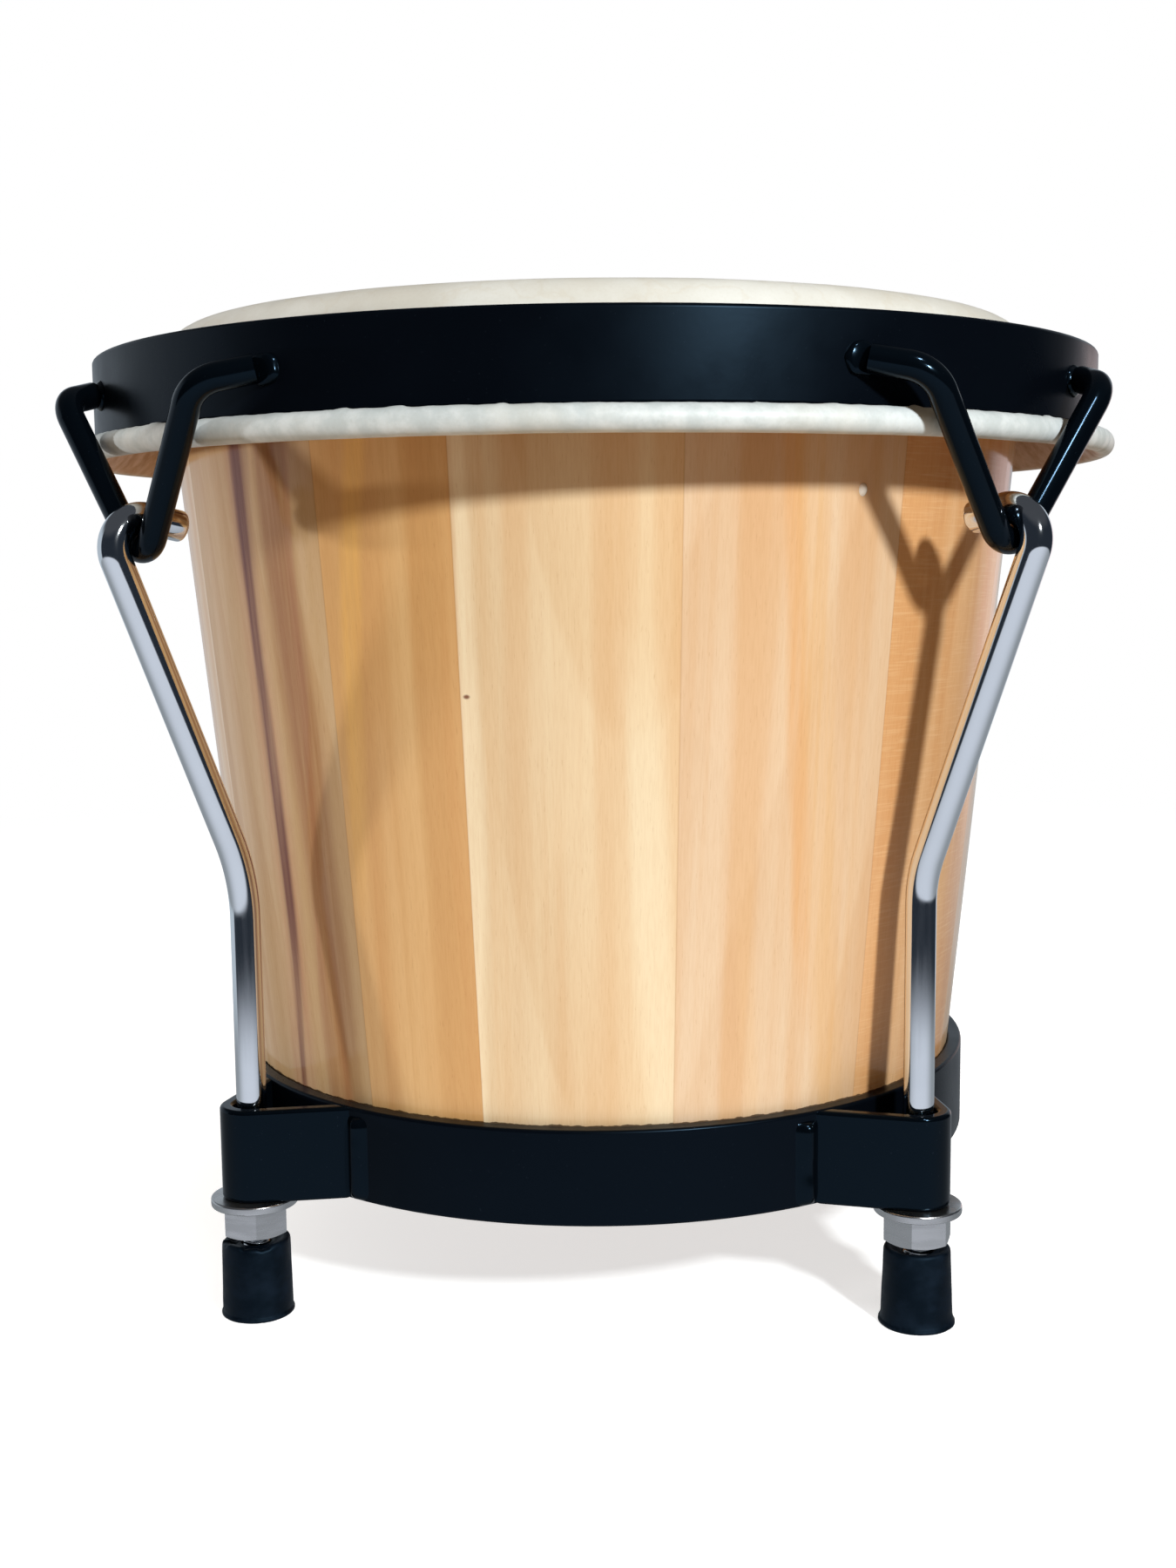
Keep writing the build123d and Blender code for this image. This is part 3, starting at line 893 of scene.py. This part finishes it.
def build_foot(side, degrees):
    """A moulded foot; the front one has a worn, torn top edge and less of a lip."""
    worn = side == "front"
    shape = WORN_FOOT_RADII if worn else (FOOT_TOP_RADIUS, FOOT_WAIST_RADIUS, foot_base_radius)
    seed = degrees * 0.1

    def move(point, angle):
        radius = math.hypot(point.x, point.y)
        if radius < rod_radius + 0.5:
            return point
        push = 1 + 0.006 * noise.noise(Vector((point.x * 0.4, point.y * 0.4, point.z * 0.4 + seed)))
        drop = 0.0
        if worn and point.z > foot_height - WORN_HEIGHT:
            drop = torn_edge(angle) * ease((point.z - foot_height + WORN_HEIGHT) / 1.2)
        return Vector((point.x * push, point.y * push, point.z - drop))

    centre = Vector((rod_line_radius, 0, 0))
    rings = [turned([point + centre for point in ring], degrees)
             for ring in lathe(foot_profile(*shape), FOOT_COLUMNS, move)]
    foot = make_piece(f"foot_{side}", *capped_tube(rings), black_rubber)
    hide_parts(f"rubber_foot_{side}")
    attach(foot, "head")


for side, degrees in SIDES.items():
    build_foot(side, degrees)


# ---------------- weld beads

LUG_BEAD_WIDTH = 6.0
LUG_BEAD_PROUD = 1.5
LUG_BEAD_ROOT = 0.5         # how deep the bead goes into the ring
LUG_BEAD_OVERLAP = 1.2      # how far it covers the end of the strap
LUG_BEAD_TOP_DROP = 1.6
LUG_BEAD_COLUMNS = 40
LUG_BEAD_ROWS = 49
EAR_ARM_STEPS = 200
EAR_BEAD_COLUMNS = 36
EAR_BEAD_OFFSET = 0.45      # the bead lies more on the arm's outer side
EAR_BEAD_PROFILE = [        # (radius, height over the rim's face)
    (0.6, -0.5), (2.6, -0.45), (2.95, -0.15), (2.9, 0.15),
    (2.75, 0.45), (2.55, 0.75), (2.2, 0.95), (0.6, 1.0),
]


def lug_bead_rings(sign, seed):
    """An upright mound of weld that runs the end of a lug's strap into the ring."""
    middle = math.asin((LUG_LEG_SPREAD + LUG_BEAD_WIDTH / 2 - LUG_BEAD_OVERLAP) / ring_radius) * sign
    bottom = ring_bottom_z + 0.3
    top = ring_top_z - LUG_BEAD_TOP_DROP
    rings = []
    for z in spread(bottom, top, LUG_BEAD_ROWS):
        ends = min(min(z - bottom, top - z) / 1.8, 1.0)
        size = math.sqrt(max(1 - (1 - ends) ** 2, 0.02))
        ripple = 1 + 0.16 * noise.noise(Vector((z * 0.22, seed, sign)))
        half_width = LUG_BEAD_WIDTH / 2 * (0.6 + 0.4 * size)
        outline = [
            (u, (LUG_BEAD_PROUD * ripple + 0.1) * size * (0.5 + 0.5 * math.cos(math.pi * u)) - 0.1)
            for u in spread(-1, 1, LUG_BEAD_COLUMNS)
        ]
        outline += [(u, -LUG_BEAD_ROOT) for u in spread(0.9, -0.9, 8)]
        ring = []
        for u, proud in outline:
            place = middle + u * half_width / ring_radius
            ring.append(around(ring_radius + proud, place, z))
        rings.append(ring)
    return rings


def ear_arm():
    """Where an arm of the ear on the +X side meets the rim."""
    vertex_z = EAR_APEX_Z - EAR_APEX_BEND * (1 / math.sin(EAR_HALF_ANGLE) - 1)
    spread_out = (EAR_SHOULDER_Z - vertex_z) * math.tan(EAR_HALF_ANGLE)
    shoulder = Vector((EAR_SHOULDER_RADIUS, spread_out, EAR_SHOULDER_Z))
    weld = Vector((EAR_WELD_RADIUS, EAR_WELD_SPREAD, EAR_WELD_Z))
    for share in spread(0, 1, EAR_ARM_STEPS):
        point = shoulder.lerp(weld, share)
        if math.hypot(point.x, point.y) < rim_radius:
            break
    return point


def ear_bead_rings(sign, seed):
    """A lumpy bead round the end of an ear's arm, on the rim's face."""
    arm_end = ear_arm()
    middle = math.atan2(arm_end.y, arm_end.x)
    rings = []
    for radius, height in EAR_BEAD_PROFILE:
        ring = []
        for column in range(EAR_BEAD_COLUMNS):
            angle = TURN * column / EAR_BEAD_COLUMNS
            lump = 1 + 0.16 * noise.noise(around(1.3, angle, seed + height * 0.5))
            aside = radius * lump * 1.12 * math.cos(angle) + EAR_BEAD_OFFSET
            up = radius * lump * 0.95 * math.sin(angle)
            place = middle + aside / rim_radius
            ring.append(around(rim_radius + height, sign * place, arm_end.z + up))
        rings.append(ring)
    return rings


def build_welds(name, ring_maker, body, material):
    """Both beads of one lug or ear, as one piece for each side of the drum."""
    pieces = []
    for side, degrees in SIDES.items():
        points, faces = [], []
        for sign in (-1, 1):
            seed = degrees * 0.05 + sign * 3.0
            rings = [turned(ring, degrees) for ring in ring_maker(sign, seed)]
            bead_points, bead_faces = capped_tube(rings)
            start = len(points)
            points += bead_points
            faces += [tuple(index + start for index in face) for face in bead_faces]
        beads = make_piece(f"{name}_{side}", points, faces, material)
        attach(beads, body)
        pieces.append(beads)
    return pieces


weld_beads = build_welds("lug_weld_beads", lug_bead_rings, "root", gloss_black)
weld_beads += build_welds("ear_weld_beads", ear_bead_rings, "head", gloss_black)


# ---------------- a small dome on the shell, its near-white colour a painted highlight of a lacquer drop

DRIP_Z = 149.6
DRIP_ANGLE = -8.7           # degrees about +Z from +X; the drop is on stave_03
DRIP_RADIUS = 0.9
DRIP_PROUD = 0.7
DRIP_SUNK = 0.15            # how deep its edge goes into the wood
DRIP_COLUMNS = 32


def painted_glint_drop():
    material = Material("painted_glint_drop", roughness=0.15, coat_weight=0.5, coat_roughness=0.1)
    cloud = material.noise(material.scaled(2.0), 2.0)
    # Near-white so that the dome shows as a bright spot: a painted highlight.
    material.surface(base_color=material.mix(cloud, tone(252, 248, 242), tone(240, 226, 206)))
    return material.data


def build_drip():
    """A small dome on the shell's outside; its milky white colour is a painted highlight."""
    shell_radius = SHELL_BOTTOM_RADIUS + SHELL_FLARE * (DRIP_Z - SHELL_BOTTOM_Z)
    rings = []
    for share in (0.05, 0.3, 0.55, 0.8, 1.0, 1.05):
        proud = DRIP_PROUD * (1 - share ** 2) if share <= 1 else -DRIP_SUNK
        ring = []
        for column in range(DRIP_COLUMNS):
            angle = TURN * column / DRIP_COLUMNS
            aside = DRIP_RADIUS * share * math.cos(angle)
            up = DRIP_RADIUS * share * 1.25 * math.sin(angle)
            place = math.radians(DRIP_ANGLE) + aside / shell_radius
            out = shell_radius + SHELL_FLARE * up + proud
            ring.append(around(out, place, DRIP_Z + up))
        rings.append(ring)
    drip = make_piece("white_dome_painted_glint", *capped_tube(rings), painted_glint_drop())
    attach(drip, "root")


build_drip()


# ---------------- camera, lights and floor

CAMERA_AZIMUTH = math.radians(48.65)
CAMERA_DISTANCE = 0.3806
CAMERA_HEIGHT = 0.1376
CAMERA_PITCH = math.radians(6.94)       # looking down
CAMERA_ROLL = math.radians(-0.57)
CAMERA_LENS = 41.57
CAMERA_SHIFT = -0.00725

# The surround.  Azimuths are in degrees to the right of the camera's side.
FRONT_AZIMUTH = 0.0
BACKDROP_AZIMUTH = -142.0
ROOM_AZIMUTH = 24.0
STRIP_AZIMUTH = 146.0
SOFT_BACKDROP = (0.62, 0.60, 0.57)
SOFT_ROOM = (0.14, 0.09, 0.045)
SOFT_FLOOR = (0.33, 0.22, 0.12)
SHARP_BACKDROP = (0.50, 0.57, 0.64)
SHARP_ROOM = (0.020, 0.026, 0.036)
SHARP_STRIP = (1.05, 0.86, 0.86)
SHARP_CEILING = (0.06, 0.065, 0.075)
SHARP_FLOOR_BACK = (0.30, 0.33, 0.36)
SHARP_FLOOR_FRONT = (0.66, 0.71, 0.80)

FLOOR_RADIUS = 40000.0
FLOOR_COLUMNS = 128
FLOOR_NEAR = 200.0          # matt up to here, plain glowing white from FLOOR_FAR on
FLOOR_FAR = 700.0


def direction(azimuth, elevation):
    """Unit vector from the drum, azimuth in degrees to the right of the camera's side."""
    turn = CAMERA_AZIMUTH + math.radians(azimuth)
    rise = math.radians(elevation)
    level = math.cos(rise)
    return Vector((math.sin(turn) * level, -math.cos(turn) * level, math.sin(rise)))


def build_camera():
    data = bpy.data.cameras.new("photo_camera")
    data.lens = CAMERA_LENS
    data.sensor_width = 36.0
    data.shift_x = CAMERA_SHIFT
    data.clip_start, data.clip_end = 0.01, 100.0
    camera = bpy.data.objects.new("photo_camera", data)
    scene.collection.objects.link(camera)
    back = direction(0, math.degrees(CAMERA_PITCH))
    level_right = Vector((math.cos(CAMERA_AZIMUTH), math.sin(CAMERA_AZIMUTH), 0))
    level_up = back.cross(level_right)
    right = level_right * math.cos(CAMERA_ROLL) + level_up * math.sin(CAMERA_ROLL)
    up = level_up * math.cos(CAMERA_ROLL) - level_right * math.sin(CAMERA_ROLL)
    place = direction(0, 0) * CAMERA_DISTANCE + Vector((0, 0, CAMERA_HEIGHT))
    camera.matrix_world = Matrix((
        (right.x, up.x, back.x, place.x),
        (right.y, up.y, back.y, place.y),
        (right.z, up.z, back.z, place.z),
        (0, 0, 0, 1),
    ))
    scene.camera = camera


def area_light(name, azimuth, elevation, distance, size, power, colour=(1, 1, 1), aim_z=0.11):
    """A disc light aimed at the drum's axis: angles in degrees, lengths in metres, power in watts."""
    data = bpy.data.lights.new(name, "AREA")
    data.shape = "DISK"
    data.size = size
    data.energy = power
    data.color = colour
    light = bpy.data.objects.new(name, data)
    scene.collection.objects.link(light)
    aim = Vector((0, 0, aim_z))
    back = direction(azimuth, elevation)
    light.location = aim + back * distance
    light.rotation_euler = back.to_track_quat("Z", "Y").to_euler()
    return light


def light_only(light, pieces):
    """Let a light reach these pieces and nothing else."""
    receivers = bpy.data.collections.new(light.name + "_receivers")
    for piece in pieces:
        receivers.objects.link(piece)
    light.light_linking.receiver_collection = receivers


def floor_material():
    """Matt white near the drum; further out it glows plain white, so that no horizon shows."""
    material = Material("pale_floor", roughness=0.9)
    flat = material.vector_math("MULTIPLY", material.place, (1, 1, 0))[0]
    far = material.step(material.length(flat), FLOOR_NEAR, FLOOR_FAR)
    material.surface(
        base_color=material.mix(far, (0.80, 0.80, 0.80), (0.0, 0.0, 0.0)),
        specular_ior_level=0.0,
        emission_color=(1.0, 1.0, 1.0),
        emission_strength=material.math("MULTIPLY_ADD", far, 0.38, 0.62),
    )
    return material.data


def build_floor():
    """A pale floor disc, lit by its own overhead light so that it stays pale under a dark front."""
    points = [around(FLOOR_RADIUS, TURN * column / FLOOR_COLUMNS, 0.0)
              for column in range(FLOOR_COLUMNS)]
    floor = make_piece("floor", points, [tuple(range(FLOOR_COLUMNS))], floor_material())
    floor.visible_diffuse = False
    floor.visible_glossy = False
    return floor


def build_world():
    """Studio surround.  A camera sees plain white.  Soft light comes from a pale backdrop behind the
    drum, a dim warm room in front and a floor below; glossy parts mirror the same things sharper."""
    world = bpy.data.worlds.new("studio")
    scene.world = world
    world.use_nodes = True
    world.node_tree.nodes.clear()
    maker = NodeMaker(world.node_tree)
    look = maker.node("ShaderNodeTexCoord").outputs["Generated"]
    height = maker.node("ShaderNodeSeparateXYZ", {0: look}).outputs["Z"]
    path = maker.node("ShaderNodeLightPath").outputs

    def facing(azimuth, start, end):
        """How far a direction faces an azimuth, smoothed between two cosines."""
        cosine = maker.vector_math("DOT_PRODUCT", look, direction(azimuth, 0))["Value"]
        return maker.step(cosine, start, end)

    soft = maker.mix(facing(BACKDROP_AZIMUTH, -0.05, 0.25), SOFT_ROOM, SOFT_BACKDROP)
    soft = maker.mix(maker.step(height, -0.05, -0.3), soft, SOFT_FLOOR)
    sharp = maker.mix(facing(ROOM_AZIMUTH, -0.36, -0.22), SHARP_BACKDROP, SHARP_ROOM)
    sharp = maker.mix(facing(STRIP_AZIMUTH, 0.975, 0.992), sharp, SHARP_STRIP)
    sharp = maker.mix(maker.step(height, 0.30, 0.60), sharp, SHARP_CEILING)
    floor_colour = maker.mix(facing(FRONT_AZIMUTH, -0.3, 0.95), SHARP_FLOOR_BACK, SHARP_FLOOR_FRONT)
    sharp = maker.mix(maker.step(height, -0.215, -0.265), sharp, floor_colour)
    colour = maker.mix(path["Is Glossy Ray"], soft, sharp)
    colour = maker.mix(path["Is Camera Ray"], colour, (1.0, 1.0, 1.0))
    surround = maker.node("ShaderNodeBackground", {"Color": colour})
    maker.node("ShaderNodeOutputWorld", {"Surface": surround.outputs[0]})


build_camera()
build_world()
floor = build_floor()
area_light("key_light", 26, 23, 0.70, 0.06, 4.25, (0.945, 0.99, 1.0))
bounce_light = area_light("bounce_light", 8, -32, 0.20, 0.16, 0.085, (0.94, 1.0, 1.04), aim_z=0.10)
bounce_light.visible_glossy = False
bounce_light.visible_camera = False
side_light = area_light("side_light", -94, -2, 0.80, 0.04, 2.7, aim_z=0.14)
side_light.visible_glossy = False
floor_light = area_light("floor_light", 10, 75, 1.6, 1.2, 15.0)
light_only(floor_light, [floor])
glint_light = area_light("glint_light", 26, 48, 0.60, 0.05, 1.1, (0.85, 0.93, 1.0))
light_only(glint_light, weld_beads + [
    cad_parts[f"{part}_{side}"] for part in ("rim_ear", "lug_loop") for side in SIDES
])

scene.view_settings.view_transform = "Standard"
